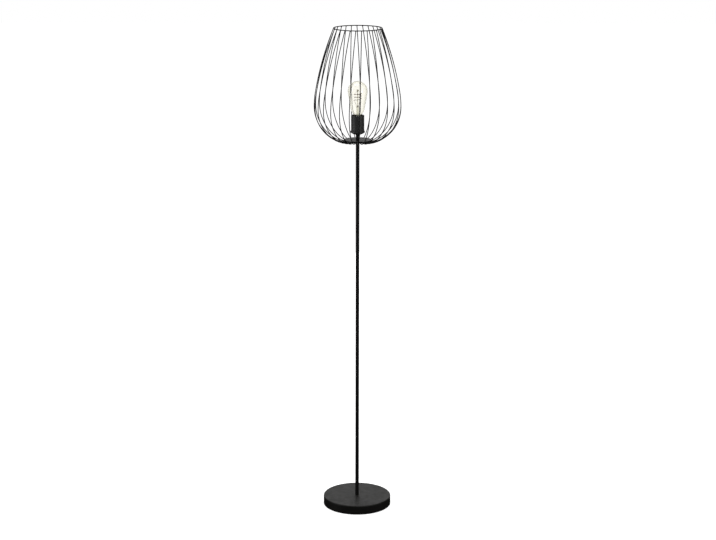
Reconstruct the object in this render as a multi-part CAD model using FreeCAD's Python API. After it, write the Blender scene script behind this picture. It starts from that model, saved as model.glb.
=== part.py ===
import FreeCAD, Part
import math
import os

# Wire cage floor lamp, in millimetres. +Z is up and -Y is the front. The origin
# is the centre of the underside of the base, where the felt meets the floor.

V = FreeCAD.Vector
CENTRE = V(0, 0, 0)
UP = V(0, 0, 1)

# Base: a pressed steel cover over a cast iron weight on a felt pad.
base_radius = 110.5
base_height = 30.0
cover_wall = 1.5
cover_edge_radius = 3.0
cover_lift = 1.0
pad_thickness = 2.0
pad_margin = 6.0
weight_thickness = 16.0
weight_side_gap = 1.0
boss_radius = 22.0
boss_roof = 4.5
well_radius = 17.0

# Cord inlet in the rear wall of the base, and the cord's groove in the weight.
inlet_height = 8.5
inlet_bore_radius = 3.5
bushing_wall = 1.5
bushing_flange = 1.5
bushing_flange_thickness = 1.2
groove_side_gap = 1.0

# Threaded tube and its fixings, which clamp the base, pole, cage and holder.
pole_diameter = 12.0
pole_wall = 1.0
nipple_wall = 0.95
nipple_grip = 15.0
thread_fit = 0.05
nut_across_flats = 14.0
base_nut_height = 4.0
holder_nut_height = 3.0
nipple_tail = 0.5
washer_radius = 12.0
washer_thickness = 1.5
lock_washer_radius = 9.0
lock_washer_thickness = 0.8
lock_washer_teeth = 10
lock_washer_slot = 1.6
lock_washer_tooth_depth = 2.2

# Cage: bent wires from a plate on the pole to a ring at the top.
plate_height = 1216.0
plate_radius = 44.0
plate_thickness = 6.0
wire_diameter = 2.8
wire_count = 27
wire_overlap = 10.0
wire_phase = 1.2
wire_lean = 1.6
belly_radius = 137.0
belly_rise = 112.0
lower_bend_turn = 66.0
belly_bend_radius = 270.0
side_bend_radius = 960.0
ring_radius = 76.1
ring_rise = 246.6
ring_wire_diameter = 3.2
weld_gap = 0.02

# Neck and lampholder.
neck_length = 16.0
holder_foot_radius = 8.0
holder_dome_rise = 7.0
holder_dome_bulge = 0.9
holder_wall = 1.5
collar_lip = 1.9
collar_height = 4.5
seat_drop = 2.0
holder_boss_height = 5.0
sleeve_radius = 21.0
sleeve_wall = 1.0
sleeve_height = 52.0
sleeve_lip = 1.6
sleeve_lip_height = 1.5
slip_fit = 0.1
insert_gap = 0.3
seat_land = 1.2
chamber_wall = 2.7
chamber_height = 12.5
insert_floor = 5.0
contact_chamber_radius = 11.0
contact_chamber_height = 6.5
mouth_radius = 15.5
mouth_flare = 1.5
mouth_flare_height = 4.0
shell_height = 18.0
shell_wall = 0.95
strip_thickness = 0.8
strip_width = 6.0
strip_gap = 0.1
tongue_gap = 1.2
tongue_reach = 4.0
tongue_post = 5.0
dimple_radius = 2.0
dimple_height = 1.0
terminal_offset = 10.0
terminal_margin = 3.4
screw_radius = 1.5
screw_depth = 3.5
screw_head_radius = 2.8
screw_head_height = 1.8
screw_slot_width = 0.8
screw_slot_depth = 0.7

# Screw cap of the bulb, whose thread also sets the thread of the holder.
thread_pitch = 25.4 / 7
thread_depth = 1.05
thread_half_width = 1.2
thread_root_sink = 0.25
thread_play = 0.3
cap_root_radius = 12.1
cap_wall = 0.7
cap_thread_length = 16.5
cap_thread_start = 1.6
cap_thread_end = 0.3
cap_skirt_radius = 13.2
cap_skirt_height = 6.0
cap_skirt_round = 0.6
tip_radius = 4.5
tip_height = 2.0
tip_round = 1.0
insulator_foot_radius = 5.5
insulator_height = 3.5
insulator_rim = 0.4

# Glass of the bulb and what is sealed in it.
bulb_radius = 32.0
bulb_length = 140.0
bulb_cone_angle = 10.5
bulb_glass_wall = 0.8
bulb_neck_radius = 12.3
bulb_neck_depth = 5.5
bulb_neck_stand = 1.0
bulb_flare_radius = 12.0
bulb_shoulder_radius = 26.0
cement_gap = 0.1
stem_flare_height = 12.0
stem_flare_sag = 0.35
stem_radius = 4.0
stem_wall = 1.0
stem_height = 40.0
stem_pinch_height = 5.0
rod_radius = 1.5
rod_height = 47.0
button_radius = 3.5
lead_wire_radius = 0.45
lead_wire_spread = 2.4
support_wire_radius = 0.3
support_count = 3
filament_radius = 0.9
filament_coil_radius = 11.5
filament_pitch = 8.5
filament_turns = 2.5
filament_drop = 60.0

# Lead inside the pole, from the base to the terminals of the holder.
lead_radius = 3.1
lead_bend_radius = 11.0
lead_start = 85.0
lead_top_gap = 3.0
core_radius = 1.1
core_spacing = 1.4
core_offset = 5.6
core_bend_radius = 3.0
core_bend_turn = 50.0

# Places that follow from the sizes above.
pole_radius = pole_diameter / 2
pole_bore = pole_radius - pole_wall
nipple_radius = pole_bore - thread_fit
nipple_bore = nipple_radius - nipple_wall
cover_bore = nipple_radius + thread_fit
roof_underside = base_height - cover_wall
well_top = roof_underside - boss_roof
washer_bottom = well_top - washer_thickness
lock_washer_bottom = washer_bottom - lock_washer_thickness
base_nut_bottom = lock_washer_bottom - base_nut_height
foot_nipple_bottom = base_nut_bottom - nipple_tail
cover_inside = base_radius - cover_wall
weight_radius = cover_inside - weight_side_gap
bushing_radius = inlet_bore_radius + bushing_wall
bushing_flange_radius = bushing_radius + bushing_flange
groove_half_width = bushing_flange_radius + groove_side_gap
plate_top = plate_height + plate_thickness
wire_radius = wire_diameter / 2
wire_level = plate_height - wire_radius
ring_wire_radius = ring_wire_diameter / 2
belly_height = wire_level + belly_rise
ring_height = belly_height + ring_rise
holder_bottom = plate_top + neck_length
collar_bottom = holder_bottom + holder_dome_rise
collar_top = collar_bottom + collar_height
seat_height = collar_top - seat_drop
collar_radius = sleeve_radius + slip_fit + collar_lip
sleeve_bore = sleeve_radius - sleeve_wall
sleeve_top = seat_height + sleeve_height
insert_radius = sleeve_bore - insert_gap
insert_top = sleeve_top - sleeve_lip_height
boss_top = holder_bottom + holder_boss_height
top_nipple_top = boss_top + holder_nut_height + nipple_tail
floor_bottom = seat_height + chamber_height
floor_top = floor_bottom + insert_floor
shell_bottom = floor_top + contact_chamber_height
shell_top = shell_bottom + shell_height
thread_crest = cap_root_radius + thread_depth
shell_radius = thread_crest + thread_play + shell_wall
tongue_bottom = floor_top + tongue_gap
tip_bottom = tongue_bottom + strip_thickness + dimple_height
insulator_bottom = tip_bottom + tip_height
cap_bottom = insulator_bottom + insulator_height
skirt_bottom = cap_bottom + cap_thread_length
cap_top = skirt_bottom + cap_skirt_height
neck_top = cap_top + bulb_neck_stand
bulb_top = tip_bottom + bulb_length
bulb_centre = bulb_top - bulb_radius
stem_bottom = cap_top - bulb_neck_depth
stem_top = stem_bottom + stem_height
button_height = stem_top + rod_height
coil_bottom = bulb_top - filament_drop


def at(radius, height):
    """A point of an outline that is spun about the vertical axis."""
    return V(radius, 0, height)


def lines(*points):
    """Straight edges from each point to the next."""
    return [Part.LineSegment(a, b).toShape() for a, b in zip(points, points[1:])]


def turn_arc(centre, radius, start, end):
    """Arc in the XZ plane about a centre, from one angle to another in degrees."""
    angles = [math.radians(a) for a in (start, (start + end) / 2, end)]
    points = [centre + V(radius * math.cos(a), 0, radius * math.sin(a)) for a in angles]
    return Part.Arc(*points).toShape()


def spin(edges):
    """Solid of revolution from a closed outline beside the vertical axis."""
    return Part.Face(Part.Wire(Part.sortEdges(edges)[0])).revolve(CENTRE, UP, 360)


def outline(*points):
    """Closed outline of straight edges."""
    return lines(*points, points[0])


def cylinder(radius, bottom, top):
    return Part.makeCylinder(radius, top - bottom, V(0, 0, bottom))


def tube(outer, inner, bottom, top):
    return cylinder(outer, bottom, top).cut(cylinder(inner, bottom, top))


def hexagon(across_flats, bore, bottom, top):
    """Plain hexagon nut with its corners chamfered."""
    corner = across_flats / 2 / math.cos(math.pi / 6)
    points = []
    for step in range(7):
        angle = math.radians(60 * step)
        points.append(V(corner * math.cos(angle), corner * math.sin(angle), bottom))
    body = Part.Face(Part.makePolygon(points)).extrude(V(0, 0, top - bottom))
    chamfer = (corner - across_flats / 2) / 2
    edge = corner - chamfer
    barrel = spin(outline(at(0, bottom), at(edge, bottom), at(corner, bottom + chamfer),
                          at(corner, top - chamfer), at(edge, top), at(0, top)))
    return body.common(barrel).cut(cylinder(bore, bottom, top))


def swept(path, radius):
    """Round bar along a path of tangent edges."""
    wire = Part.Wire(path)
    first = wire.Edges[0]
    start = first.valueAt(first.FirstParameter)
    heading = first.tangentAt(first.FirstParameter)
    section = Part.Wire(Part.makeCircle(radius, start, heading))
    return wire.makePipeShell([section], True, False)


def bar(start, end, radius):
    """Straight round bar between two points."""
    return Part.makeCylinder(radius, (end - start).Length, start, end - start)


def box(low, high):
    return Part.makeBox(high.x - low.x, high.y - low.y, high.z - low.z, low)


def save(name, shape):
    shape.exportStep("parts/" + name + ".step")


# ---- base ------------------------------------------------------------------

def inlet(radius, inner, outer):
    """Cylinder along the axis of the cord inlet, between two distances from the pole."""
    return Part.makeCylinder(radius, outer - inner, V(0, inner, inlet_height), V(0, 1, 0))


def base_cover():
    """Pressed cover, open below, with the pole's hole on top and the inlet behind."""
    bend = at(base_radius - cover_edge_radius, base_height - cover_edge_radius)
    inner_bend = cover_edge_radius - cover_wall
    edges = lines(at(cover_bore, base_height), at(bend.x, base_height))
    edges += [turn_arc(bend, cover_edge_radius, 90, 0)]
    edges += lines(at(base_radius, bend.z), at(base_radius, cover_lift),
                   at(cover_inside, cover_lift), at(cover_inside, bend.z))
    edges += [turn_arc(bend, inner_bend, 0, 90)]
    edges += lines(at(bend.x, roof_underside), at(cover_bore, roof_underside),
                   at(cover_bore, base_height))
    hole = inlet(bushing_radius, cover_inside - cover_wall, base_radius + cover_wall)
    return spin(edges).cut(hole)


def base_weight():
    """Cast disc with a boss under the pole, a well for the nut and a cord groove."""
    top = pad_thickness + weight_thickness
    body = spin(outline(at(well_radius, pad_thickness), at(weight_radius, pad_thickness),
                        at(weight_radius, top), at(boss_radius, top),
                        at(boss_radius, roof_underside), at(cover_bore, roof_underside),
                        at(cover_bore, well_top), at(well_radius, well_top)))
    groove_top = inlet_height + groove_half_width
    groove = box(V(-groove_half_width, 0, pad_thickness),
                 V(groove_half_width, weight_radius + cover_wall, groove_top))
    well = cylinder(well_radius, pad_thickness, well_top)
    return body.cut(groove.cut(well))


def base_pad():
    return cylinder(weight_radius - pad_margin, 0, pad_thickness)


def cord_bushing():
    """Snap-in bushing with a flange on each side of the cover's wall."""
    outside = base_radius + bushing_flange_thickness
    inside = cover_inside - bushing_flange_thickness
    wall_outside = math.sqrt(base_radius ** 2 - bushing_flange_radius ** 2)
    body = inlet(bushing_radius, inside, outside)
    outer_flange = inlet(bushing_flange_radius, wall_outside, outside)
    inner_flange = inlet(bushing_flange_radius, inside, cover_inside)
    wall = tube(base_radius, cover_inside, cover_lift, base_height)
    flanges = outer_flange.fuse(inner_flange).cut(wall)
    return body.fuse(flanges).cut(inlet(inlet_bore_radius, inside, outside)).removeSplitter()


def base_lock_washer():
    """Toothed washer: slots between the teeth run in from the rim."""
    top = washer_bottom
    ring = tube(lock_washer_radius, cover_bore, lock_washer_bottom, top)
    slot = box(V(lock_washer_radius - lock_washer_tooth_depth, -lock_washer_slot / 2,
                 lock_washer_bottom),
               V(lock_washer_radius + lock_washer_slot, lock_washer_slot / 2, top))
    for tooth in range(lock_washer_teeth):
        ring = ring.cut(slot.rotated(CENTRE, UP, 360 / lock_washer_teeth * tooth))
    return ring


# ---- cage ------------------------------------------------------------------

def cage_wire():
    """One wire, from under the plate out round the belly and up to the ring.

    Two arcs lead from the plate to the belly, the widest point, where the wire
    is upright. Above it a short arc runs into the long arc of the side.
    The whole wire leans sideways about its foot, so the ring is turned a little.
    """
    turn = math.radians(lower_bend_turn)
    out = belly_radius - plate_radius
    share = 1 - math.cos(turn) - math.sin(turn)
    upper = (out * (1 - math.sin(turn)) - belly_rise * math.cos(turn)) / share
    lower = (belly_rise * (1 - math.cos(turn)) - out * math.sin(turn)) / share
    foot = at(plate_radius, wire_level + lower)
    belly = at(belly_radius - upper, belly_height)
    path = lines(at(plate_radius - wire_overlap, wire_level), at(plate_radius, wire_level))
    path += [turn_arc(foot, lower, -90, -lower_bend_turn)]
    path += [turn_arc(belly, upper, -lower_bend_turn, 0)]

    lean = math.radians(wire_lean)
    climb = ring_height - wire_level
    sideways = climb * math.tan(lean)
    shoulder = at(belly_radius - belly_bend_radius, belly_height)
    end = at(math.sqrt(ring_radius ** 2 - sideways ** 2), wire_level + climb / math.cos(lean))
    reach = end - shoulder
    near = side_bend_radius - belly_bend_radius
    along = (near ** 2 - side_bend_radius ** 2 + reach.Length ** 2) / (2 * reach.Length)
    across = math.sqrt(near ** 2 - along ** 2)
    heading = reach.normalize()
    side = shoulder + heading * along + V(-heading.z, 0, heading.x) * across
    joint = math.degrees(math.atan2(shoulder.z - side.z, shoulder.x - side.x))
    tip = math.degrees(math.atan2(end.z - side.z, end.x - side.x))
    path += [turn_arc(shoulder, belly_bend_radius, 0, joint)]
    path += [turn_arc(side, side_bend_radius, joint, tip)]
    print("wire arcs", round(lower, 1), round(upper, 1), "side turn", round(joint, 2), round(tip, 2))
    weld = Part.makeTorus(ring_radius, ring_wire_radius + weld_gap, V(0, 0, ring_height))
    leaning = swept(path, wire_radius).rotated(at(0, wire_level), V(1, 0, 0), -wire_lean)
    return leaning.cut(weld)


def cage_ring():
    return Part.makeTorus(ring_radius, ring_wire_radius, V(0, 0, ring_height))


# ---- lampholder ------------------------------------------------------------

def holder_cap():
    """Domed cup that screws on the threaded tube and carries insert and sleeve."""
    def dome(rim, foot, drop):
        """Arc from the foot up to the rim of the dome, bulging outwards."""
        low = at(foot, holder_bottom + drop)
        high = at(rim, collar_bottom + drop)
        chord = high - low
        bulge = V(chord.z, 0, -chord.x).normalize() * holder_dome_bulge
        return Part.Arc(low, (low + high) / 2 + bulge, high).toShape()

    bore = nipple_radius + thread_fit
    land = insert_radius - seat_land
    edges = lines(at(bore, holder_bottom), at(holder_foot_radius, holder_bottom))
    edges += [dome(collar_radius, holder_foot_radius, 0)]
    edges += lines(at(collar_radius, collar_bottom), at(collar_radius, collar_top),
                   at(sleeve_radius + slip_fit, collar_top),
                   at(sleeve_radius + slip_fit, seat_height), at(land, seat_height),
                   at(land, collar_bottom + holder_wall))
    edges += [dome(land, holder_foot_radius, holder_wall)]
    edges += lines(at(holder_foot_radius, holder_bottom + holder_wall),
                   at(holder_foot_radius, boss_top), at(bore, boss_top), at(bore, holder_bottom))
    return spin(edges)


def holder_sleeve():
    """Plain tube round the insert, turned in at the top to hold it down."""
    lip = sleeve_bore - sleeve_lip
    return spin(outline(at(sleeve_bore, seat_height), at(sleeve_radius, seat_height),
                        at(sleeve_radius, sleeve_top), at(lip, sleeve_top),
                        at(lip, insert_top), at(sleeve_bore, insert_top)))


def thread_ridge(grow, bottom, top):
    """Ridge of the screw thread, a round-backed bar wound on a helix."""
    back = (thread_half_width ** 2 + thread_depth ** 2) / (2 * thread_depth)
    centre = thread_crest - back
    radius = back + grow
    inner = cap_root_radius - thread_root_sink
    half = math.sqrt(radius ** 2 - (inner - centre) ** 2)
    low = V(inner, 0, -half)
    high = V(inner, 0, half)
    section = Part.Wire([Part.Arc(low, V(centre + radius, 0, 0), high).toShape(),
                         Part.LineSegment(high, low).toShape()])
    # The helix starts whole turns below the cap, so that both threads line up.
    turns_below = 1
    turns = math.ceil((top - cap_bottom) / thread_pitch) + 2 * turns_below
    helix = Part.makeHelix(thread_pitch, thread_pitch * turns, cap_root_radius)
    ridge = Part.Wire(helix.Edges).makePipeShell([section], True, True)
    ridge.translate(V(0, 0, cap_bottom - turns_below * thread_pitch))
    slab = cylinder(thread_crest + thread_depth, bottom, top)
    return ridge.common(slab)


def holder_thread_shell():
    """Threaded socket with a tab that runs down to its terminal."""
    bore = cap_root_radius + thread_play
    shell = tube(shell_radius, bore, shell_bottom, shell_top)
    shell = shell.cut(thread_ridge(thread_play, shell_bottom - thread_pitch, shell_top + thread_pitch))
    half = strip_width / 2
    post = box(V(shell_radius - strip_thickness, -half, floor_bottom - strip_thickness),
               V(shell_radius, half, shell_bottom))
    foot = box(V(core_offset - core_radius, -half, floor_bottom - strip_thickness),
               V(shell_radius, half, floor_bottom))
    tab = post.common(cylinder(shell_radius, floor_bottom - strip_thickness, shell_bottom))
    foot = foot.common(cylinder(shell_radius, floor_bottom - strip_thickness, floor_bottom))
    hole = screw_hole(terminal_offset, floor_bottom - strip_thickness)
    return shell.fuse(tab.fuse(foot).cut(hole))


def screw_hole(offset, bottom):
    hole = cylinder(screw_radius + thread_fit, bottom, floor_bottom + screw_depth)
    hole.translate(V(offset, 0, 0))
    return hole


def holder_contact():
    """Bent strip: terminal foot, post through the floor, and tongue with a dimple."""
    half = strip_width / 2
    foot = box(V(-terminal_offset - terminal_margin, -half, floor_bottom - strip_thickness),
               V(-tongue_post + strip_thickness, half, floor_bottom))
    post = box(V(-tongue_post, -half, floor_bottom),
               V(-tongue_post + strip_thickness, half, tongue_bottom))
    tongue = box(V(-tongue_post, -half, tongue_bottom),
                 V(tongue_reach, half, tongue_bottom + strip_thickness))
    dimple = cylinder(dimple_radius, tongue_bottom + strip_thickness, tip_bottom)
    strip = foot.fuse([post, tongue, dimple])
    return strip.cut(screw_hole(-terminal_offset, floor_bottom - strip_thickness)).removeSplitter()


def holder_insert():
    """Insulating body: terminal chamber below, floor, contact well and socket."""
    chamber = insert_radius - chamber_wall
    bore = shell_radius + slip_fit
    mouth = max(mouth_radius, bore)
    body = spin(outline(at(chamber, seat_height), at(insert_radius, seat_height),
                        at(insert_radius, insert_top), at(mouth + mouth_flare, insert_top),
                        at(mouth, insert_top - mouth_flare_height), at(mouth, shell_top),
                        at(bore, shell_top), at(bore, shell_bottom),
                        at(contact_chamber_radius, shell_bottom),
                        at(contact_chamber_radius, floor_top), at(0, floor_top),
                        at(0, floor_bottom), at(chamber, floor_bottom)))
    half = strip_width / 2 + strip_gap
    tab_slot = box(V(shell_radius - strip_thickness - strip_gap, -half, floor_bottom),
                   V(bore, half, shell_bottom))
    post_slot = box(V(-tongue_post - strip_gap, -half, floor_bottom),
                    V(-tongue_post + strip_thickness + strip_gap, half, floor_top))
    body = body.cut(tab_slot).cut(post_slot)
    return body.cut(screw_hole(terminal_offset, floor_bottom)).cut(
        screw_hole(-terminal_offset, floor_bottom))


def terminal_screws():
    """Two cheese-head screws that clamp the strips under the floor of the insert."""
    seat = floor_bottom - strip_thickness
    head = cylinder(screw_head_radius, seat - screw_head_height, seat)
    shank = cylinder(screw_radius, seat, floor_bottom + screw_depth)
    slot = box(V(-screw_head_radius, -screw_slot_width / 2, seat - screw_head_height),
               V(screw_head_radius, screw_slot_width / 2,
                 seat - screw_head_height + screw_slot_depth))
    screw = head.fuse(shank).cut(slot)
    shift = V(terminal_offset, 0, 0)
    return Part.makeCompound([screw.translated(shift), screw.translated(-shift)])


# ---- bulb ------------------------------------------------------------------

def bulb_cap():
    """Threaded metal cap with a plain skirt round the neck of the glass."""
    bore = cap_root_radius - cap_wall
    skirt_bore = bulb_neck_radius + cement_gap
    round_top = at(cap_skirt_radius - cap_skirt_round, cap_top - cap_skirt_round)
    edges = lines(at(bore, cap_bottom), at(cap_root_radius, cap_bottom),
                  at(cap_root_radius, skirt_bottom), at(cap_skirt_radius, skirt_bottom),
                  at(cap_skirt_radius, round_top.z))
    edges += [turn_arc(round_top, cap_skirt_round, 0, 90)]
    edges += lines(at(round_top.x, cap_top), at(skirt_bore, cap_top),
                   at(skirt_bore, skirt_bottom), at(bore, skirt_bottom), at(bore, cap_bottom))
    ridge = thread_ridge(0, cap_bottom + cap_thread_start, skirt_bottom - cap_thread_end)
    return spin(edges).fuse(ridge)


def bulb_insulator():
    """Black glass cone between the cap and the tip contact."""
    rim = cap_root_radius - insulator_rim / 2
    return spin(outline(at(0, insulator_bottom), at(insulator_foot_radius, insulator_bottom),
                        at(rim, cap_bottom - insulator_rim), at(rim, cap_bottom),
                        at(0, cap_bottom)))


def bulb_tip():
    """Solder button that meets the centre contact of the holder."""
    corner = at(tip_radius - tip_round, tip_bottom + tip_round)
    edges = lines(at(0, tip_bottom), at(corner.x, tip_bottom))
    edges += [turn_arc(corner, tip_round, -90, 0)]
    edges += lines(at(tip_radius, corner.z), at(tip_radius, insulator_bottom),
                   at(0, insulator_bottom), at(0, tip_bottom))
    return spin(edges)


def glass_profile(inset, bottom):
    """Edges from the neck to the crown of the glass, drawn in by a wall inset."""
    cone = math.radians(bulb_cone_angle)
    neck = bulb_neck_radius - inset
    flare = bulb_flare_radius + inset
    shoulder = bulb_shoulder_radius - inset
    crown = bulb_radius - inset
    both = flare + shoulder
    reach = (neck + flare) * math.cos(cone) + (bulb_centre - neck_top) * math.sin(cone)
    bend = bulb_cone_angle + math.degrees(math.acos((reach - crown + shoulder) / both))
    flare_centre = at(neck + flare, neck_top)
    turn = math.radians(bend)
    shoulder_centre = flare_centre + V(-both * math.cos(turn), 0, both * math.sin(turn))
    cone_foot = shoulder_centre + V(shoulder * math.cos(cone), 0, -shoulder * math.sin(cone))
    cone_top = at(crown * math.cos(cone), bulb_centre - crown * math.sin(cone))
    edges = lines(at(neck, bottom), at(neck, neck_top))
    edges += [turn_arc(flare_centre, flare, 180, 180 - bend)]
    edges += [turn_arc(shoulder_centre, shoulder, -bend, -bulb_cone_angle)]
    edges += lines(cone_foot, cone_top)
    edges += [turn_arc(at(0, bulb_centre), crown, -bulb_cone_angle, 90)]
    return edges


def bulb_glass():
    """Blown envelope, drawn out to a neck that is cemented in the cap."""
    inner = bulb_neck_radius - bulb_glass_wall
    edges = glass_profile(0, stem_bottom) + glass_profile(bulb_glass_wall, stem_bottom)
    edges += lines(at(0, bulb_top), at(0, bulb_top - bulb_glass_wall))
    edges += lines(at(inner, stem_bottom), at(bulb_neck_radius, stem_bottom))
    return spin(edges)


def bulb_stem():
    """Flared glass tube, pinched on the lead wires, with a rod and a button."""
    foot = bulb_neck_radius - bulb_glass_wall - weld_gap
    waist = stem_bottom + stem_flare_height
    pinch = stem_top - stem_pinch_height

    def flare(outer, inner, low):
        """Bell curve of the flare, from its foot up to the tube."""
        start = at(outer, low)
        end = at(inner, waist)
        middle = at(inner + (outer - inner) * stem_flare_sag,
                    low + (waist - low) * stem_flare_sag)
        return Part.Arc(start, middle, end).toShape()

    edges = [flare(foot, stem_radius, stem_bottom + stem_wall)]
    edges += lines(at(stem_radius, waist), at(stem_radius, pinch), at(rod_radius, stem_top),
                   at(rod_radius, button_height), at(0, button_height), at(0, pinch - stem_wall),
                   at(stem_radius - stem_wall, pinch - stem_wall),
                   at(stem_radius - stem_wall, waist))
    edges += [flare(foot - stem_wall, stem_radius - stem_wall, stem_bottom)]
    edges += lines(at(foot - stem_wall, stem_bottom), at(foot, stem_bottom),
                   at(foot, stem_bottom + stem_wall))
    button = Part.makeSphere(button_radius, V(0, 0, button_height))
    return spin(edges).fuse(button)


def coil_point(turns):
    """Place on the filament's coil, in turns from its lower end on the left."""
    angle = math.pi + 2 * math.pi * turns
    return V(filament_coil_radius * math.cos(angle), filament_coil_radius * math.sin(angle),
             coil_bottom + filament_pitch * turns)


def coil_heading(turns):
    angle = math.pi + 2 * math.pi * turns
    rise = filament_pitch / (2 * math.pi)
    return V(-filament_coil_radius * math.sin(angle), filament_coil_radius * math.cos(angle),
             rise).normalize()


def biarc(start, heading, end, end_heading):
    """Two arcs that leave one point and reach another along given headings."""
    chord = end - start
    both = heading + end_heading
    bend = 2 * (1 - heading.dot(end_heading))
    along = chord.dot(both)
    reach = (math.sqrt(along ** 2 + bend * chord.dot(chord)) - along) / bend
    joint = (start + end + (heading - end_heading) * reach) / 2

    def half(low, corner, high):
        slope = (high - low).Length / 2 / (corner - low).Length
        middle = (low + high) / 2
        return Part.Arc(low, middle + (corner - middle) * (slope / (1 + slope)), high).toShape()

    first = half(start, start + heading * reach, joint)
    second = half(joint, end - end_heading * reach, end)
    return [first, second]


def bulb_filament():
    """Coiled filament, one unbroken strand of a few open turns."""
    arcs_per_turn = 4
    path = []
    for step in range(round(filament_turns * arcs_per_turn)):
        low = step / arcs_per_turn
        high = low + 1 / arcs_per_turn
        path += biarc(coil_point(low), coil_heading(low), coil_point(high), coil_heading(high))
    marks_per_turn = 24
    marks = range(round(filament_turns * marks_per_turn) + 1)
    points = [coil_point(mark / marks_per_turn) for mark in marks]
    gap = min((points[a] - points[b]).Length - 2 * filament_radius
              for a in marks for b in marks if b - a > marks_per_turn / 2)
    print("least gap between filament turns", round(gap, 2))
    return swept(path, filament_radius)


def bulb_supports():
    """Two lead wires from the pinch and three support wires from the button."""
    pieces = []
    ends = (coil_point(0), coil_point(filament_turns))
    for side, end in zip((-1, 1), ends):
        root = V(side * lead_wire_spread, 0, stem_top - stem_pinch_height)
        pieces.append(bar(root, end, lead_wire_radius))
    top = V(0, 0, button_height)
    for support in range(support_count):
        turns = filament_turns - (support + 1) / (support_count + 1)
        pieces.append(bar(top, coil_point(turns), support_wire_radius))
    button = Part.makeSphere(button_radius / 2, top)
    return Part.makeCompound([piece.cut(button) for piece in pieces])


# ---- lead inside the pole --------------------------------------------------

def inner_lead():
    """Sheathed lead from the weight's groove up the pole, and its two cores."""
    bend = lead_bend_radius
    half = math.sqrt(1 / 2)
    sheath_top = top_nipple_top + lead_top_gap
    start = V(0, lead_start, inlet_height)
    corner = V(0, bend, inlet_height)
    middle = V(0, bend * (1 - half), inlet_height + bend * (1 - half))
    rise = V(0, 0, inlet_height + bend)
    path = lines(start, corner) + [Part.Arc(corner, middle, rise).toShape()]
    path += lines(rise, V(0, 0, sheath_top))
    lead = swept(path, lead_radius)
    length = sum(edge.Length for edge in path)
    print("lead length", round(length), "bend radius", bend, "volume ratio",
          round(lead.Volume / (math.pi * lead_radius ** 2 * length), 4))

    contact_level = floor_bottom - strip_thickness
    turn = math.radians(core_bend_turn)
    reach = core_bend_radius * (1 - math.cos(turn))
    slope = (core_offset - core_spacing - 2 * reach) / math.sin(turn)
    for side in (-1, 1):
        def place(across, height):
            return V(side * across, 0, height)

        low = sheath_top
        first = place(core_spacing + core_bend_radius, low)
        knee = place(core_spacing + reach, low + core_bend_radius * math.sin(turn))
        knee_middle = first + V(-side * core_bend_radius * math.cos(turn / 2), 0,
                                core_bend_radius * math.sin(turn / 2))
        upper = knee + V(side * slope * math.sin(turn), 0, slope * math.cos(turn))
        second = place(core_offset - core_bend_radius, upper.z + core_bend_radius * math.sin(turn))
        upper_middle = second + V(side * core_bend_radius * math.cos(turn / 2), 0,
                                  -core_bend_radius * math.sin(turn / 2))
        shoulder = place(core_offset, second.z)
        route = lines(place(core_spacing, low - core_radius), place(core_spacing, low))
        route += [Part.Arc(place(core_spacing, low), knee_middle, knee).toShape()]
        route += lines(knee, upper)
        route += [Part.Arc(upper, upper_middle, shoulder).toShape()]
        route += lines(shoulder, place(core_offset, contact_level))
        lead = lead.fuse(swept(route, core_radius))
    return lead


# ---- all the pieces --------------------------------------------------------

os.makedirs("parts", exist_ok=True)

save("base_pad", base_pad())
save("base_weight", base_weight())
save("base_cover", base_cover())
save("cord_bushing", cord_bushing())
save("base_washer", tube(washer_radius, cover_bore, washer_bottom, well_top))
save("base_lock_washer", base_lock_washer())
save("base_nut", hexagon(nut_across_flats, cover_bore, base_nut_bottom, lock_washer_bottom))
save("foot_nipple", tube(nipple_radius, nipple_bore, foot_nipple_bottom,
                         base_height + nipple_grip))

# The pole is cut into equal lengths, joined by nipples inside.
section_names = ["pole_lower", "pole_middle", "pole_upper"]
joint_names = ["joint_nipple_lower", "joint_nipple_upper"]
section_length = (plate_height - base_height) / len(section_names)
for index, name in enumerate(section_names):
    bottom = base_height + section_length * index
    save(name, tube(pole_radius, pole_bore, bottom, bottom + section_length))
for index, name in enumerate(joint_names):
    joint = base_height + section_length * (index + 1)
    save(name, tube(nipple_radius, nipple_bore, joint - nipple_grip, joint + nipple_grip))

save("top_nipple", tube(nipple_radius, nipple_bore, plate_height - nipple_grip, top_nipple_top))
save("cage_plate", tube(plate_radius, cover_bore, plate_height, plate_top))
save("cage_ring", cage_ring())
wire = cage_wire()
for index in range(wire_count):
    angle = wire_phase - 90 + 360 / wire_count * index
    save("cage_wire_%02d" % (index + 1), wire.rotated(CENTRE, UP, angle))

save("neck_tube", tube(pole_radius, pole_bore, plate_top, holder_bottom))
save("holder_cap", holder_cap())
save("holder_nut", hexagon(nut_across_flats, cover_bore, boss_top, boss_top + holder_nut_height))
save("holder_insert", holder_insert())
save("holder_thread_shell", holder_thread_shell())
save("holder_contact", holder_contact())
save("terminal_screws", terminal_screws())
save("holder_sleeve", holder_sleeve())

save("bulb_tip", bulb_tip())
save("bulb_insulator", bulb_insulator())
save("bulb_cap", bulb_cap())
save("bulb_glass", bulb_glass())
save("bulb_stem", bulb_stem())
save("bulb_supports", bulb_supports())
save("bulb_filament", bulb_filament())
save("inner_lead", inner_lead())
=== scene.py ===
import math
import random

import bmesh
import bpy
from mathutils import Matrix, Vector, noise


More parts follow.
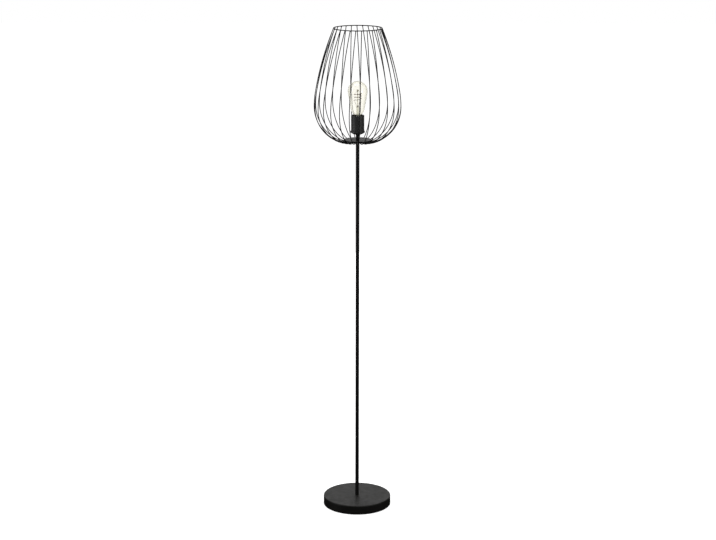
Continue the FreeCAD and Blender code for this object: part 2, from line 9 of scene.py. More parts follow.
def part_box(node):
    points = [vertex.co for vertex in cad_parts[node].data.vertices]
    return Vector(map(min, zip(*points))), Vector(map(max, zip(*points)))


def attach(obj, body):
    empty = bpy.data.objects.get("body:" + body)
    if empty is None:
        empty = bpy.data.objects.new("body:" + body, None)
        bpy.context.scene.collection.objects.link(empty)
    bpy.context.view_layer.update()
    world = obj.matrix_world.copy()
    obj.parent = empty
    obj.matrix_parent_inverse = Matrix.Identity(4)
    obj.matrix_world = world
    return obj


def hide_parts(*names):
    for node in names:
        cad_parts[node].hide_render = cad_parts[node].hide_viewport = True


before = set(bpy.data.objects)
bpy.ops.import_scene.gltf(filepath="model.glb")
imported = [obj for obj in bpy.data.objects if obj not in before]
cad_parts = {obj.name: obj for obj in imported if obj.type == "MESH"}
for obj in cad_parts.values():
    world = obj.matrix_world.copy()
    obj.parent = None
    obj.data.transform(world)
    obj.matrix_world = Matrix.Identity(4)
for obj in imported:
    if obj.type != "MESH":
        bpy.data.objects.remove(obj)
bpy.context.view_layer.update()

# Wire cage floor lamp, in metres. +Z is up and -Y is the front. The sections
# follow the lamp from the floor to the bulb, as it is put together.


# ---- felt pad --------------------------------------------------------------
# A disc of pressed black felt, glued under the weight so that the lamp doesn't
# scratch the floor. Only its edge shows, in the shadow gap under the cover.

class Finish:
    """A material: the shader's constants, with noises laid over them."""

    def __init__(self, name, constants):
        self.material = bpy.data.materials.new(name)
        self.material.use_nodes = True
        tree = self.material.node_tree
        self.nodes = tree.nodes
        self.link = tree.links.new
        self.shader = tree.nodes["Principled BSDF"]
        for socket, value in constants.items():
            self.shader.inputs[socket].default_value = value
        self.place = tree.nodes.new("ShaderNodeTexCoord").outputs["Object"]
        self.normal = None

    def grain(self, size, detail=3.0, stretch=(1, 1, 1)):
        """Noise with grains of about one size, longer where it is stretched."""
        scale = self.nodes.new("ShaderNodeMapping")
        scale.inputs["Scale"].default_value = [1 / (size * share) for share in stretch]
        grains = self.nodes.new("ShaderNodeTexNoise")
        grains.inputs["Scale"].default_value = 1
        grains.inputs["Detail"].default_value = detail
        self.link(self.place, scale.inputs["Vector"])
        self.link(scale.outputs["Vector"], grains.inputs["Vector"])
        return grains.outputs["Fac"]

    def spread(self, source, low, high):
        """The middle of a noise's range, spread between two values."""
        limits = self.nodes.new("ShaderNodeMapRange")
        limits.inputs["From Min"].default_value = 0.32
        limits.inputs["From Max"].default_value = 0.68
        limits.inputs["To Min"].default_value = low
        limits.inputs["To Max"].default_value = high
        self.link(source, limits.inputs["Value"])
        return limits.outputs["Result"]

    def vary(self, socket, source, low, high):
        """Lets a noise move one value of the shader between two limits."""
        self.link(self.spread(source, low, high), self.shader.inputs[socket])

    def shade(self, source, dark, light):
        """Lets a noise move the colour between two shades."""
        mix = self.nodes.new("ShaderNodeMix")
        mix.data_type = "RGBA"
        colours = [socket for socket in mix.inputs if socket.type == "RGBA"]
        colours[0].default_value = (*dark, 1)
        colours[1].default_value = (*light, 1)
        self.link(self.spread(source, 0, 1), mix.inputs["Factor"])
        result = [socket for socket in mix.outputs if socket.type == "RGBA"][0]
        self.link(result, self.shader.inputs["Base Color"])

    def relief(self, source, height):
        """Bumps of a real height, laid over the ones made before."""
        bump = self.nodes.new("ShaderNodeBump")
        bump.inputs["Strength"].default_value = 1
        bump.inputs["Distance"].default_value = height
        self.link(source, bump.inputs["Height"])
        if self.normal:
            self.link(self.normal, bump.inputs["Normal"])
        self.normal = bump.outputs["Normal"]
        self.link(self.normal, self.shader.inputs["Normal"])


def paint(node, finish):
    """Gives a piece of the frame its finish."""
    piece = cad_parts[node]
    piece.material_slots[0].material = finish.material


felt = Finish("pressed_felt", {"Roughness": 0.95, "Sheen Weight": 0.5, "Sheen Roughness": 0.6})
felt.shade(felt.grain(0.0011), (0.012, 0.012, 0.013), (0.045, 0.044, 0.043))
felt.relief(felt.grain(0.0006, 5.0, (1, 1, 0.3)), 0.0004)
felt.relief(felt.grain(0.004, 2.0), 0.0003)
paint("base_pad", felt)


# ---- weight ----------------------------------------------------------------
# A disc of cast iron that keeps the lamp upright, with a boss under the pole
# and a groove for the lead. It is left as cast and dipped in grey primer.

cast_iron = Finish("primed_cast_iron", {"Metallic": 0.25})
cast_iron.shade(cast_iron.grain(0.012, 6.0), (0.085, 0.08, 0.076), (0.17, 0.16, 0.15))
cast_iron.vary("Roughness", cast_iron.grain(0.006), 0.55, 0.8)
cast_iron.relief(cast_iron.grain(0.0016, 4.0), 0.00035)
cast_iron.relief(cast_iron.grain(0.015, 1.0), 0.0004)
paint("base_weight", cast_iron)


# ---- cover of the base -----------------------------------------------------
# One steel sheet pressed to a shallow cup over the weight, with a soft edge and
# a punched hole for the lead behind. It is coated with a fine dull powder.

cover_wall = 0.0015
cover_edge = 0.003
cover_bore = 0.005
cover_rim_round = 0.0005
hidden_round = 0.0002


def rounded(corners, arc_steps=5):
    """Closed outline of (radius, height, round) corners, as points.

    Beside each round lies one more point, which keeps the flat beside it flat
    when the mesh is shaded smooth.
    """
    points = []
    for index, (radius, height, bend) in enumerate(corners):
        here = Vector((radius, height))
        if bend == 0:
            points.append(here)
            continue
        back = Vector(corners[index - 1][:2]) - here
        ahead = Vector(corners[(index + 1) % len(corners)][:2]) - here
        half = back.angle(ahead) / 2
        setback = bend / math.tan(half)
        beside = min(setback * 2.5, back.length / 2, ahead.length / 2)
        back.normalize()
        ahead.normalize()
        centre = here + (back + ahead).normalized() * bend / math.sin(half)
        first = here + back * setback - centre
        last = here + ahead * setback - centre
        if beside > setback * 1.2:
            points.append(here + back * beside)
        points += [centre + first.slerp(last, step / arc_steps) * bend
                   for step in range(arc_steps + 1)]
        if beside > setback * 1.2:
            points.append(here + ahead * beside)
    return points


def mesh_object(name, mesh, finish):
    """An object from a bmesh, shaded smooth except at real edges."""
    bmesh.ops.recalc_face_normals(mesh, faces=mesh.faces)
    data = bpy.data.meshes.new(name)
    mesh.to_mesh(data)
    mesh.free()
    data.shade_smooth()
    data.set_sharp_from_angle(angle=math.radians(38))
    data.materials.append(finish.material)
    piece = bpy.data.objects.new(name, data)
    bpy.context.scene.collection.objects.link(piece)
    return piece


def turned(name, outline, finish, steps=128, closed=True):
    """A turned piece: its outline of radius and height, spun about the pole's axis.

    An outline that isn't closed starts and ends on the axis.
    """
    mesh = bmesh.new()
    angles = [2 * math.pi * step / steps for step in range(steps)]
    rings = []
    for radius, height in outline:
        if radius < 1e-6:
            rings.append([mesh.verts.new((0, 0, height))] * steps)
        else:
            rings.append([mesh.verts.new((radius * math.cos(angle), radius * math.sin(angle), height))
                          for angle in angles])
    following = rings[1:] + rings[:1] if closed else rings[1:]
    for low, high in zip(rings, following):
        for index in range(steps):
            after = (index + 1) % steps
            corners = [low[index], low[after], high[after], high[index]]
            mesh.faces.new(list(dict.fromkeys(corners)))
    return mesh_object(name, mesh, finish)


def fit(piece, body, slot, *nodes):
    """Puts a piece on its body, in the place of nodes of the frame."""
    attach(piece, body)
    if nodes:
        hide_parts(*nodes)


def without(piece, cutter):
    """Cuts one mesh out of another and drops the cutter."""
    cut = piece.modifiers.new("cut", "BOOLEAN")
    cut.object = cutter
    cut.solver = "EXACT"
    depsgraph = bpy.context.evaluated_depsgraph_get()
    data = bpy.data.meshes.new_from_object(piece.evaluated_get(depsgraph))
    piece.modifiers.clear()
    piece.data = data
    bpy.data.objects.remove(cutter)


base_paint = Finish("dull_charcoal_powder", {"Specular IOR Level": 0.14})
base_paint.shade(base_paint.grain(0.03, 4.0), (0.0138, 0.0132, 0.0123), (0.0188, 0.018, 0.0167))
base_paint.vary("Roughness", base_paint.grain(0.018, 5.0), 0.42, 0.52)
base_paint.relief(base_paint.grain(0.0009, 2.0), 0.000045)
base_paint.relief(base_paint.grain(0.00035, 2.0), 0.00002)

low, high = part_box("base_cover")
cover_radius = high.x
cover_inside = cover_radius - cover_wall
cover_top = high.z
cover_roof = cover_top - cover_wall
outline = rounded([
    (cover_bore, cover_roof, hidden_round),
    (cover_bore, cover_top, hidden_round),
    (cover_radius, cover_top, cover_edge),
    (cover_radius, low.z, cover_rim_round),
    (cover_inside, low.z, cover_rim_round),
    (cover_inside, cover_roof, cover_edge - cover_wall),
], arc_steps=8)
cover = turned("base_cover_shell", outline, base_paint, steps=256)
bushing_low, bushing_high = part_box("cord_bushing")
inlet_height = (bushing_low.z + bushing_high.z) / 2
inlet_hole_radius = 0.005
punch_depth = 0.02
punch = bmesh.new()
bmesh.ops.create_cone(punch, cap_ends=True, segments=48, radius1=inlet_hole_radius,
                      radius2=inlet_hole_radius, depth=punch_depth,
                      matrix=Matrix.Translation((0, cover_radius, inlet_height))
                      @ Matrix.Rotation(math.pi / 2, 4, "X"))
without(cover, mesh_object("punch", punch, base_paint))
fit(cover, "lamp", "base_paint", "base_cover")


# ---- bushing of the inlet --------------------------------------------------
# A snap-in bushing of black nylon in the rear wall. It keeps the sheet's edge
# off the lead.

nylon = Finish("moulded_nylon", {"Specular IOR Level": 0.45})
nylon.shade(nylon.grain(0.005), (0.014, 0.014, 0.015), (0.022, 0.022, 0.022))
nylon.vary("Roughness", nylon.grain(0.003), 0.38, 0.5)
nylon.relief(nylon.grain(0.0004, 2.0), 0.00001)
paint("cord_bushing", nylon)


# ---- threaded tubes, washers and nuts ---------------------------------------
# Steel turned parts with bright zinc plating. They clamp the weight, the pole,
# the cage and the lampholder on one line, and lie inside them.

zinc = Finish("zinc_plating", {"Metallic": 1.0})
zinc.shade(zinc.grain(0.004, 4.0), (0.5, 0.51, 0.53), (0.68, 0.69, 0.7))
zinc.vary("Roughness", zinc.grain(0.002), 0.28, 0.46)
zinc.relief(zinc.grain(0.0007, 2.0, (4, 4, 0.2)), 0.00002)
for node in ("base_washer", "base_lock_washer", "base_nut", "foot_nipple", "joint_nipple_lower",
             "joint_nipple_upper", "top_nipple", "holder_nut"):
    paint(node, zinc)


# ---- pole ------------------------------------------------------------------
# Three equal steel tubes, screwed end to end on the threaded tubes inside, so
# that only a hairline shows at each joint. Their coat is black and smoother.

pole_wall = 0.001
pole_end_round = 0.0003

frame_paint = Finish("black_powder", {"Specular IOR Level": 0.22})
frame_paint.shade(frame_paint.grain(0.02, 4.0), (0.0068, 0.0068, 0.007), (0.011, 0.011, 0.011))
frame_paint.vary("Roughness", frame_paint.grain(0.01, 4.0), 0.4, 0.52)
frame_paint.relief(frame_paint.grain(0.0008, 2.0), 0.00003)


def tube(name, node, wall, end_round, finish, slot, steps=64):
    """A plain tube in the place of a node, with rounded ends."""
    low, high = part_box(node)
    radius = high.x
    outline = rounded([
        (radius - wall, low.z, end_round),
        (radius - wall, high.z, end_round),
        (radius, high.z, end_round),
        (radius, low.z, end_round),
    ])
    piece = turned(name, outline, finish, steps)
    fit(piece, "lamp", slot, node)


for part in ("lower", "middle", "upper"):
    tube("pole_tube_" + part, "pole_" + part, pole_wall, pole_end_round, frame_paint, "frame_paint")


# ---- plate of the cage -----------------------------------------------------
# A thick turned steel disc at the head of the pole. The wires are welded to its
# underside, and it is coated with them.

plate_bore = 0.005
plate_edge_round = 0.0006

low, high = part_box("cage_plate")
plate_radius = high.x
plate_bottom = low.z
outline = rounded([
    (plate_bore, low.z, hidden_round),
    (plate_bore, high.z, hidden_round),
    (plate_radius, high.z, plate_edge_round),
    (plate_radius, low.z, plate_edge_round),
])
fit(turned("cage_plate_disc", outline, frame_paint), "lamp", "frame_paint", "cage_plate")


# ---- wires of the cage -----------------------------------------------------
# Drawn steel wires, each bent in the same jig: out from under the plate, round
# the belly and in long arcs up to the ring. All of them lean a little sideways,
# so the ring sits turned against the plate.

wire_radius = 0.0014
wire_count = 27
wire_overlap = 0.01
wire_phase = math.radians(1.2)
wire_lean = math.radians(1.6)
belly_radius = 0.137
belly_rise = 0.112
belly_bend = 0.27
side_bend = 0.96
lower_turn = math.radians(66.0)
ring_low, ring_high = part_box("cage_ring")
ring_wire_radius = (ring_high.z - ring_low.z) / 2
ring_radius = ring_high.x - ring_wire_radius
ring_height = (ring_high.z + ring_low.z) / 2


def heading(angle):
    """Direction in the plane of radius and height, at an angle above outwards."""
    return Vector((math.cos(angle), math.sin(angle)))


wire_level = plate_bottom - wire_radius
belly_height = wire_level + belly_rise
out = belly_radius - plate_radius
bend_divisor = 1 - math.cos(lower_turn) - math.sin(lower_turn)
upper_bend = (out * (1 - math.sin(lower_turn)) - belly_rise * math.cos(lower_turn)) / bend_divisor
foot_bend = (belly_rise * (1 - math.cos(lower_turn)) - out * math.sin(lower_turn)) / bend_divisor
foot_centre = Vector((plate_radius, wire_level + foot_bend))
upper_knot = foot_centre + heading(-lower_turn) * foot_bend
belly_knot = Vector((belly_radius, belly_height))
belly_centre = Vector((belly_radius - belly_bend, belly_height))
climb = ring_height - wire_level
sideways = climb * math.tan(wire_lean)
ring_knot = Vector((math.sqrt(ring_radius ** 2 - sideways ** 2), wire_level + climb / math.cos(wire_lean)))
reach = ring_knot - belly_centre
near = side_bend - belly_bend
along = (near ** 2 - side_bend ** 2 + reach.length_squared) / (2 * reach.length)
across = math.sqrt(near ** 2 - along ** 2)
reach.normalize()
side_centre = belly_centre + reach * along + Vector((-reach.y, reach.x)) * across
side_start = math.atan2(belly_centre.y - side_centre.y, belly_centre.x - side_centre.x)
side_end = math.atan2(ring_knot.y - side_centre.y, ring_knot.x - side_centre.x)
side_knot = side_centre + heading(side_start) * side_bend


def arc_handle(radius, turn):
    """Length of the handles that make a curve's segment follow an arc."""
    return 4 / 3 * math.tan(turn / 4) * radius


def mesh_of(curve, finish):
    """Mesh of a curve's round wire, shaded smooth except at its cut ends."""
    curve.dimensions = "3D"
    curve.use_fill_caps = True
    drawn = bpy.data.objects.new(curve.name, curve)
    data = bpy.data.meshes.new_from_object(drawn)
    bpy.data.objects.remove(drawn)
    data.shade_smooth()
    data.set_sharp_from_angle(angle=math.radians(50))
    data.materials.clear()
    data.materials.append(finish.material)
    return data


def bent_wire(name, radius, knots, finish, resolution=16):
    """Round wire through (place, direction, handle before, handle after) knots."""
    curve = bpy.data.curves.new(name, "CURVE")
    curve.bevel_depth = radius
    curve.bevel_resolution = 4
    spline = curve.splines.new("BEZIER")
    spline.bezier_points.add(len(knots) - 1)
    spline.resolution_u = resolution
    for point, (place, direction, before, after) in zip(spline.bezier_points, knots):
        point.handle_left_type = "FREE"
        point.handle_right_type = "FREE"
        point.co = place
        point.handle_left = place - direction * before
        point.handle_right = place + direction * after
    return mesh_of(curve, finish)


def upright(flat):
    """A place or direction of radius and height, in the plane of X and Z."""
    return Vector((flat.x, 0, flat.y))


weld_step = 0.0006
inner_knot = Vector((plate_radius - wire_overlap, wire_level))
edge_knot = Vector((plate_radius, wire_level))
end_knot = ring_knot - heading(side_end + math.pi / 2) * (ring_wire_radius + weld_step)
lower_handle = arc_handle(foot_bend, math.pi / 2 - lower_turn)
upper_handle = arc_handle(upper_bend, lower_turn)
belly_handle = arc_handle(belly_bend, side_start)
side_handle = arc_handle(side_bend, side_end - side_start)
knots = [
    (inner_knot, 0, wire_overlap / 3, wire_overlap / 3),
    (edge_knot, 0, wire_overlap / 3, lower_handle),
    (upper_knot, math.pi / 2 - lower_turn, lower_handle, upper_handle),
    (belly_knot, math.pi / 2, upper_handle, belly_handle),
    (side_knot, math.pi / 2 + side_start, belly_handle, side_handle),
    (end_knot, math.pi / 2 + side_end, side_handle, side_handle),
]
wire = bent_wire("bent_wire", wire_radius,
                 [(upright(place), upright(heading(angle)), before, after)
                  for place, angle, before, after in knots], frame_paint)
foot_line = Vector((0, 0, wire_level))
lean = Matrix.Translation(foot_line) @ Matrix.Rotation(-wire_lean, 4, "X") @ Matrix.Translation(-foot_line)
wire_places = [Matrix.Rotation(wire_phase - math.pi / 2 + 2 * math.pi / wire_count * index, 4, "Z") @ lean
               for index in range(wire_count)]
for index, stand in enumerate(wire_places):
    data = wire.copy()
    data.transform(stand)
    piece = bpy.data.objects.new("cage_bar_%02d" % (index + 1), data)
    bpy.context.scene.collection.objects.link(piece)
    fit(piece, "lamp", "frame_paint", "cage_wire_%02d" % (index + 1))


# ---- welds of the cage -----------------------------------------------------
# Small beads of weld metal under the coat, one where each wire meets the ring
# and one at its end under the plate. They are never quite alike.

bead_lumps = 1.7
bead_roughness = 0.16
ring_bead_shares = (1.24, 1.42)
ring_bead_across = 1.15
ring_bead_up = 0.75
ring_bead_seed = 3.7
plate_bead_length = 0.0026
plate_bead_shares = (0.85, 1.15)
plate_bead_width = 0.0021
plate_bead_shift = 0.001
plate_bead_rise = 0.35
plate_bead_up = 0.95
plate_bead_seed = 5.3


def add_bead(mesh, place, turn, size, seed):
    """A lump of weld metal of (out, across, up) half sizes, roughened a little."""
    made = bmesh.ops.create_icosphere(mesh, subdivisions=3, radius=1.0)
    for vert in made["verts"]:
        swell = 1 + bead_roughness * noise.noise(vert.co * bead_lumps + Vector((seed, 0, 0)))
        vert.co = Vector((vert.co.x * size[0], vert.co.y * size[1], vert.co.z * size[2])) * swell
        vert.co = turn @ vert.co + place


random.seed(11)
ring_welds = bmesh.new()
plate_welds = bmesh.new()
for index, stand in enumerate(wire_places):
    turn = stand.to_3x3()
    radius = wire_radius * random.uniform(*ring_bead_shares)
    place = stand @ upright(ring_knot - heading(side_end + math.pi / 2) * ring_wire_radius)
    add_bead(ring_welds, place, turn @ Matrix.Rotation(-side_end, 3, "Y"),
             (radius, radius * ring_bead_across, radius * ring_bead_up), index * ring_bead_seed)
    place = stand @ upright(inner_knot + Vector((random.uniform(0, plate_bead_shift), 0)))
    length = plate_bead_length * random.uniform(*plate_bead_shares)
    add_bead(plate_welds, place + Vector((0, 0, wire_radius * plate_bead_rise)), turn,
             (length, plate_bead_width, wire_radius * plate_bead_up), index * plate_bead_seed)
fit(mesh_object("ring_weld_beads", ring_welds, frame_paint), "lamp", "frame_paint")
fit(mesh_object("plate_weld_beads", plate_welds, frame_paint), "lamp", "frame_paint")


# ---- ring of the cage ------------------------------------------------------
# One round of slightly thicker wire, closed by a butt weld behind, that ties
# the upper ends of the wires together.

ring_steps = 24
outline = [Vector((ring_radius, ring_height)) + heading(2 * math.pi * step / ring_steps) * ring_wire_radius
           for step in range(ring_steps)]
fit(turned("cage_ring_wire", outline, frame_paint, steps=256), "lamp", "frame_paint", "cage_ring")


# ---- neck ------------------------------------------------------------------
# A short length of the pole's tube that holds the lampholder clear of the
# plate.

tube("neck_spacer", "neck_tube", pole_wall, pole_end_round, frame_paint, "frame_paint")


# ---- cup of the lampholder -------------------------------------------------
# A spun steel cup that screws on the threaded tube and carries the insert, with
# a collar round the foot of the sleeve. Satin black lacquer.

dome_rise = 0.007
dome_bulge = 0.0009
cup_bore = 0.005
cup_foot_radius = 0.008
cup_wall = 0.0015
cup_seat_drop = 0.002
cup_boss_height = 0.005
cup_land_radius = 0.0185
collar_bore = 0.0211
cup_round = 0.0004


def dome(first, last, bulge, steps=12):
    """Corners inside an arc between two points that bulges down and outwards."""
    chord = last - first
    side = Vector((chord.y, -chord.x)).normalized()
    radius = (chord.length_squared / 4 + bulge ** 2) / (2 * bulge)
    centre = (first + last) / 2 + side * (bulge - radius)
    places = [centre + (first - centre).slerp(last - centre, step / steps) * radius
              for step in range(1, steps)]
    return [(place.x, place.y, 0) for place in places]


holder_paint = Finish("satin_black_lacquer", {"Specular IOR Level": 0.35})
holder_paint.shade(holder_paint.grain(0.012, 4.0), (0.036, 0.0366, 0.0366), (0.047, 0.0476, 0.0476))
holder_paint.vary("Roughness", holder_paint.grain(0.008, 4.0), 0.46, 0.55)
holder_paint.relief(holder_paint.grain(0.0012, 2.0), 0.000012)

low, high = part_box("holder_cap")
cup_bottom = low.z
cup_top = high.z
cup_radius = high.x
boss_top = cup_bottom + cup_boss_height
dome_top = cup_bottom + dome_rise
foot = Vector((cup_foot_radius, cup_bottom))
shoulder = Vector((cup_radius, dome_top))
inner_foot = Vector((cup_foot_radius, cup_bottom + cup_wall))
inner_shoulder = Vector((cup_land_radius, dome_top + cup_wall))
outline = rounded([
    (cup_bore, boss_top, hidden_round),
    (cup_bore, cup_bottom, hidden_round),
    (foot.x, foot.y, cup_round),
    *dome(foot, shoulder, dome_bulge),
    (shoulder.x, shoulder.y, cup_round),
    (cup_radius, cup_top, cup_round),
    (collar_bore, cup_top, cup_round),
    (collar_bore, cup_top - cup_seat_drop, hidden_round),
    (cup_land_radius, cup_top - cup_seat_drop, hidden_round),
    (inner_shoulder.x, inner_shoulder.y, cup_round),
    *reversed(dome(inner_foot, inner_shoulder, dome_bulge)),
    (inner_foot.x, inner_foot.y, cup_round),
    (cup_foot_radius, boss_top, cup_round),
])
fit(turned("holder_cup", outline, holder_paint), "lamp", "holder_paint", "holder_cap")


# ---- insert, socket and contacts --------------------------------------------
# A black phenolic body in the sleeve holds a threaded brass socket and a bent
# brass strip, which the screws below its floor join to the two cores.

phenolic = Finish("black_phenolic", {"Specular IOR Level": 0.5})
phenolic.shade(phenolic.grain(0.002, 5.0), (0.014, 0.013, 0.012), (0.026, 0.024, 0.022))
phenolic.vary("Roughness", phenolic.grain(0.004), 0.3, 0.45)
phenolic.relief(phenolic.grain(0.0006, 2.0), 0.000012)
paint("holder_insert", phenolic)

brass = Finish("rolled_brass", {"Metallic": 1.0})
brass.shade(brass.grain(0.005, 5.0), (0.5, 0.34, 0.15), (0.76, 0.57, 0.3))
brass.vary("Roughness", brass.grain(0.003), 0.22, 0.4)
brass.relief(brass.grain(0.0005, 2.0, (3, 3, 0.3)), 0.00001)
paint("holder_thread_shell", brass)
paint("holder_contact", brass)
paint("terminal_screws", zinc)

sheath = Finish("black_sheath", {"Specular IOR Level": 0.4})
sheath.shade(sheath.grain(0.01), (0.012, 0.012, 0.012), (0.02, 0.02, 0.02))
sheath.vary("Roughness", sheath.grain(0.004), 0.45, 0.6)
sheath.relief(sheath.grain(0.001, 2.0), 0.00003)
paint("inner_lead", sheath)


# ---- sleeve of the lampholder ----------------------------------------------
# A drawn steel tube over the insert, turned in at its mouth to hold the insert
# down. The same lacquer as the cup.

sleeve_wall = 0.001
sleeve_lip = 0.0016
sleeve_lip_height = 0.0015
sleeve_round = 0.0005

low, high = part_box("holder_sleeve")
sleeve_radius = high.x
sleeve_top = high.z
sleeve_bore = sleeve_radius - sleeve_wall
outline = rounded([
    (sleeve_bore, low.z, hidden_round),
    (sleeve_bore, sleeve_top - sleeve_lip_height, hidden_round),
    (sleeve_bore - sleeve_lip, sleeve_top - sleeve_lip_height, hidden_round),
    (sleeve_bore - sleeve_lip, sleeve_top, sleeve_round),
    (sleeve_radius, sleeve_top, sleeve_round),
    (sleeve_radius, low.z, hidden_round),
])
fit(turned("holder_sleeve_tube", outline, holder_paint), "lamp", "holder_paint", "holder_sleeve")


# ---- foot of the bulb ------------------------------------------------------
# A drop of solder on the tip, and the black glass that insulates it from the
# cap. Both meet the socket's centre contact.

solder = Finish("dull_solder", {"Metallic": 1.0})
solder.shade(solder.grain(0.002), (0.38, 0.38, 0.37), (0.6, 0.6, 0.58))
solder.vary("Roughness", solder.grain(0.001), 0.4, 0.6)
solder.relief(solder.grain(0.0015, 2.0), 0.0001)
paint("bulb_tip", solder)

black_glass = Finish("black_glass", {"Coat Weight": 0.5, "Coat Roughness": 0.05})
black_glass.shade(black_glass.grain(0.003), (0.006, 0.006, 0.008), (0.012, 0.012, 0.014))
black_glass.vary("Roughness", black_glass.grain(0.002), 0.08, 0.2)
black_glass.relief(black_glass.grain(0.002, 2.0), 0.00003)
paint("bulb_insulator", black_glass)


# ---- cap of the bulb -------------------------------------------------------
# The screw cap is rolled from thin sheet with a nickel tone, and its skirt is
# cemented round the neck of the glass.

cap_metal = Finish("rolled_cap_sheet", {"Metallic": 1.0})
cap_metal.shade(cap_metal.grain(0.004, 5.0), (0.6, 0.57, 0.5), (0.8, 0.77, 0.7))
cap_metal.vary("Roughness", cap_metal.grain(0.002), 0.24, 0.4)
cap_metal.relief(cap_metal.grain(0.0006, 2.0, (5, 5, 0.25)), 0.000012)
paint("bulb_cap", cap_metal)


# ---- glass of the bulb -----------------------------------------------------
# One blown envelope of clear, faintly warm glass: a ball on a long cone, drawn
# out to a neck. Its wall is under a millimetre.

glass_wall = 0.0008
glass_neck_radius = 0.0123
glass_neck_stand = 0.001
glass_flare = 0.012
glass_shoulder = 0.026
glass_cone = math.radians(10.5)


def absorb(finish, colour, density):
    """Tints light by the length of its way through the material."""
    body = finish.nodes.new("ShaderNodeVolumeAbsorption")
    body.inputs["Color"].default_value = (*colour, 1)
    body.inputs["Density"].default_value = density
    finish.link(body.outputs["Volume"], finish.nodes["Material Output"].inputs["Volume"])


bulb_glass = Finish("warm_blown_glass", {
    "Transmission Weight": 1.0, "IOR": 1.46, "Specular IOR Level": 0.5})
# The colour greys towards the bulb's outline, where the glass is seen edge on: painted shade that stands
# for the dark room the glass reflects at its sides.
painted_edge_shade = bulb_glass.nodes.new("ShaderNodeLayerWeight")
painted_edge_shade.inputs["Blend"].default_value = 0.6
bulb_glass.shade(painted_edge_shade.outputs["Facing"], (1.0, 0.99, 0.945), (0.78, 0.77, 0.7))
bulb_glass.vary("Roughness", bulb_glass.grain(0.02, 3.0), 0.0, 0.02)
bulb_glass.relief(bulb_glass.grain(0.025, 1.0, (1, 1, 1.6)), 0.0001)
absorb(bulb_glass, (0.3, 0.25, 0.0), 20)

low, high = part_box("bulb_glass")
ball_radius = high.x
ball_height = high.z - ball_radius
cap_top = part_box("bulb_cap")[1].z
glass_neck_top = cap_top + glass_neck_stand


def arc(centre, radius, start, end, steps):
    """Points on an arc between two angles, both ends left in."""
    return [centre + heading(start + (end - start) * step / steps) * radius
            for step in range(steps + 1)]


def glass_outline(inset):
    """Points from the neck to the crown of the glass, drawn in by an inset."""
    neck = glass_neck_radius - inset
    flare = glass_flare + inset
    curve = glass_shoulder - inset
    crown = ball_radius - inset
    both = flare + curve
    width = (neck + flare) * math.cos(glass_cone) + (ball_height - glass_neck_top) * math.sin(glass_cone)
    bend = glass_cone + math.acos((width - crown + curve) / both)
    flare_centre = Vector((neck + flare, glass_neck_top))
    curve_centre = flare_centre + Vector((-math.cos(bend), math.sin(bend))) * both
    centre = Vector((0, ball_height))
    points = arc(flare_centre, flare, math.pi, math.pi - bend, 10)
    points += arc(curve_centre, curve, -bend, -glass_cone, 8)
    points += arc(centre, crown, -glass_cone, math.pi / 2, 32)
    points[-1].x = 0
    return points


neck_bottom = low.z
lip_round = glass_wall / 2
lip = arc(Vector((glass_neck_radius - lip_round, neck_bottom + lip_round)), lip_round,
          -math.pi, 0, 6)
outline = glass_outline(glass_wall)[::-1] + lip + glass_outline(0)
fit(turned("bulb_envelope", outline, bulb_glass, steps=96, closed=False),
    "bulb", "bulb_glass", "bulb_glass")


# ---- stem ------------------------------------------------------------------
# A drawn glass tube that carries everything in the bulb. Its foot is flared
# and sealed in the neck, and its top is pinched flat on the two lead wires.

stem_glass = Finish("drawn_stem_glass", {
    "Base Color": (0.97, 0.985, 0.95, 1.0), "Transmission Weight": 1.0, "IOR": 1.5})
stem_glass.vary("Roughness", stem_glass.grain(0.004), 0.0, 0.05)
stem_glass.relief(stem_glass.grain(0.003, 2.0, (1, 1, 3)), 0.00006)
absorb(stem_glass, (0.25, 0.2, 0.05), 240)
paint("bulb_stem", stem_glass)


# ---- lead wires and supports -----------------------------------------------
# Two nickel lead wires rise from the pinch to the ends of the filament, and
# three thin molybdenum wires spread from the glass button and hold its turns.

support_metal = Finish("drawn_support_wire", {"Metallic": 0.6})
support_metal.shade(support_metal.grain(0.003), (0.14, 0.115, 0.09), (0.27, 0.23, 0.19))
support_metal.vary("Roughness", support_metal.grain(0.002), 0.3, 0.45)
support_metal.relief(support_metal.grain(0.0003, 2.0, (1, 1, 4)), 0.000006)
paint("bulb_supports", support_metal)


# ---- filament --------------------------------------------------------------
# A fine wire wound to a close coil, and that coil led in open turns round the
# stem's rod. It is dark amber when cold.

strand_radius = 0.0009
filament_wire_radius = 0.00018
winding_pitch = 0.0006
winding_steps = 8
coil_radius = 0.0115
coil_pitch = 0.0085
coil_turns = 2.5

amber = Finish("amber_filament", {"Specular IOR Level": 0.4})
amber.shade(amber.grain(0.003), (0.06, 0.03, 0.014), (0.13, 0.07, 0.034))
amber.vary("Roughness", amber.grain(0.002), 0.4, 0.6)
amber.relief(amber.grain(0.0004, 2.0), 0.00003)

coil_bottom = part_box("bulb_filament")[0].z + strand_radius
coil_length = math.hypot(2 * math.pi * coil_radius, coil_pitch) * coil_turns
windings = round(coil_length / winding_pitch)
curve = bpy.data.curves.new("wound_filament", "CURVE")
curve.bevel_depth = filament_wire_radius
curve.bevel_resolution = 1
spline = curve.splines.new("POLY")
spline.points.add(windings * winding_steps)
for index, point in enumerate(spline.points):
    turns = coil_turns * index / (windings * winding_steps)
    angle = math.pi + 2 * math.pi * turns
    outward = Vector((math.cos(angle), math.sin(angle), 0))
    ahead = Vector((-outward.y, outward.x, coil_pitch / (2 * math.pi * coil_radius))).normalized()
    winding = 2 * math.pi * index / winding_steps
    middle = outward * coil_radius + Vector((0, 0, coil_bottom + coil_pitch * turns))
    around = outward * math.cos(winding) + ahead.cross(outward) * math.sin(winding)
    point.co = (*(middle + around * (strand_radius - filament_wire_radius)), 1)
filament = bpy.data.objects.new("filament_coil", mesh_of(curve, amber))
bpy.context.scene.collection.objects.link(filament)
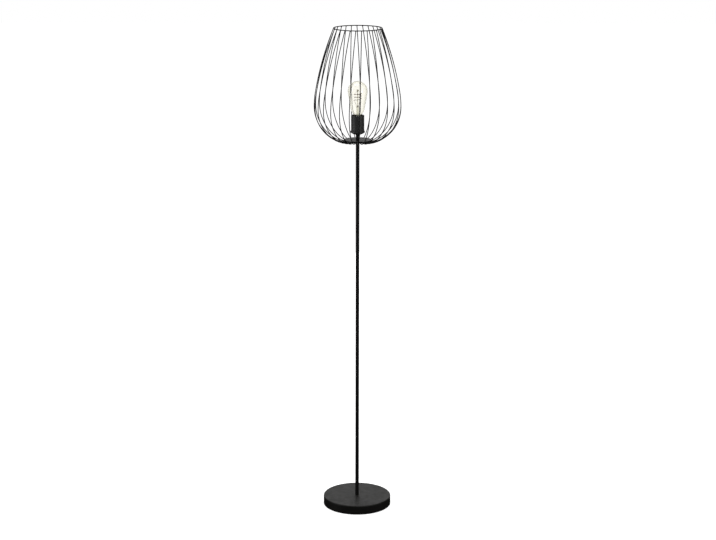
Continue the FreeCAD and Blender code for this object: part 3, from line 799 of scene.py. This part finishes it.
fit(filament, "bulb", "filament", "bulb_filament")


# ---- studio ----------------------------------------------------------------
# A pale floor and a white surround, with soft lights above, behind and beside
# the lamp. The camera stands in front, a little above the lamp's head.

def softbox(name, place, target, width, height, power):
    """A soft light that faces a target and isn't seen itself."""
    data = bpy.data.lights.new(name, "AREA")
    data.shape = "RECTANGLE"
    data.size = width
    data.size_y = height
    data.energy = power
    light = bpy.data.objects.new(name, data)
    light.location = place
    facing = Vector(target) - Vector(place)
    light.rotation_euler = facing.to_track_quat("-Z", "Y").to_euler()
    light.visible_camera = False
    light.visible_transmission = False
    bpy.context.scene.collection.objects.link(light)


softbox("light_above", (0, 0.4, 3.6), (0, 0, 0), 2.4, 2.4, 60)
softbox("light_behind", (0, 3.4, 1.3), (0, 0, 0.9), 5.0, 3.4, 55)
softbox("light_left", (-2.6, -0.8, 1.5), (0, 0, 0.9), 1.0, 2.4, 36)
softbox("light_right", (2.4, -1.8, 1.7), (0, 0, 0.9), 1.0, 2.2, 36)

floor_half = 14.0
floor_glow_near = 0.8
floor_glow_far = 1.05
floor_finish = Finish("pale_floor", {"Base Color": (0.8, 0.8, 0.8, 1), "Roughness": 0.9,
                                     "Specular IOR Level": 0.1,
                                     "Emission Color": (1, 1, 1, 1)})
distance = floor_finish.nodes.new("ShaderNodeVectorMath")
distance.operation = "LENGTH"
floor_finish.link(floor_finish.place, distance.inputs[0])
floor_finish.vary("Emission Strength", distance.outputs["Value"], floor_glow_near, floor_glow_far)
mesh = bmesh.new()
bmesh.ops.create_grid(mesh, x_segments=8, y_segments=8, size=floor_half)
floor = mesh_object("floor", mesh, floor_finish)
floor.visible_diffuse = False
floor.visible_glossy = False

world = bpy.data.worlds.new("white_surround")
world.use_nodes = True
world.node_tree.nodes["Background"].inputs["Color"].default_value = (1, 1, 1, 1)
world.node_tree.nodes["Background"].inputs["Strength"].default_value = 1.0
world.cycles_visibility.diffuse = False
world.cycles_visibility.glossy = False
bpy.context.scene.world = world
bpy.context.scene.view_settings.view_transform = "Standard"

camera_place = (0.0019, -5.751, 2.238)
camera_tilt = math.radians(75.93)
camera_roll = math.radians(0.1)
camera_lens = 92.67
camera_sensor = 36
lens = bpy.data.cameras.new("camera")
lens.lens = camera_lens
lens.sensor_width = camera_sensor
camera = bpy.data.objects.new("camera", lens)
camera.location = camera_place
turn = Matrix.Rotation(camera_tilt, 3, "X") @ Matrix.Rotation(camera_roll, 3, "Z")
camera.rotation_euler = turn.to_euler()
bpy.context.scene.collection.objects.link(camera)
bpy.context.scene.camera = camera

bpy.context.view_layer.update()
